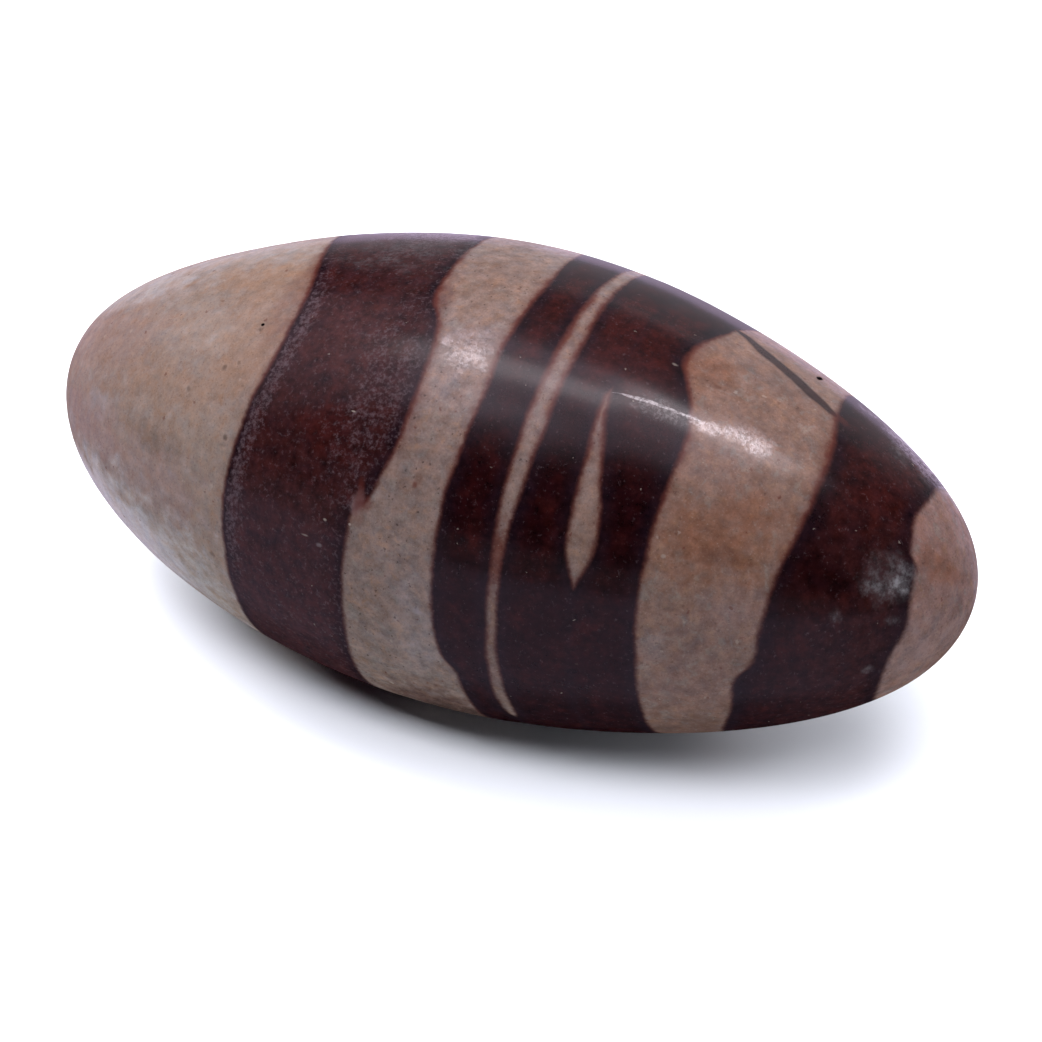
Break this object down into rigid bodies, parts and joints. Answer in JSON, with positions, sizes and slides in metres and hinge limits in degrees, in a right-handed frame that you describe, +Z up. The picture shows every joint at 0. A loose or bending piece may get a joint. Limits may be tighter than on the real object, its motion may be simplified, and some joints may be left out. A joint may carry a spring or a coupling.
{
  "type": "shiva lingam stone",
  "caption": "Egg-shaped river-worn stone with maroon and taupe bands, lying on its side on a small worn flat.",
  "frame": {"origin": "on the resting plane, under the middle of the stone's box", "axes": "+X along the long axis towards the slimmer end, +Z up, so -Y is the front with the narrow stripes"},
  "size_m": [0.09, 0.0444, 0.0425],
  "materials": {
    "stone": "hand-worn satin stone: taupe ground with broad maroon bands, fine speckle and small pits"
  },
  "bodies": {
    "root": {"lingam_stone": "stone"}
  },
  "joints": []
}
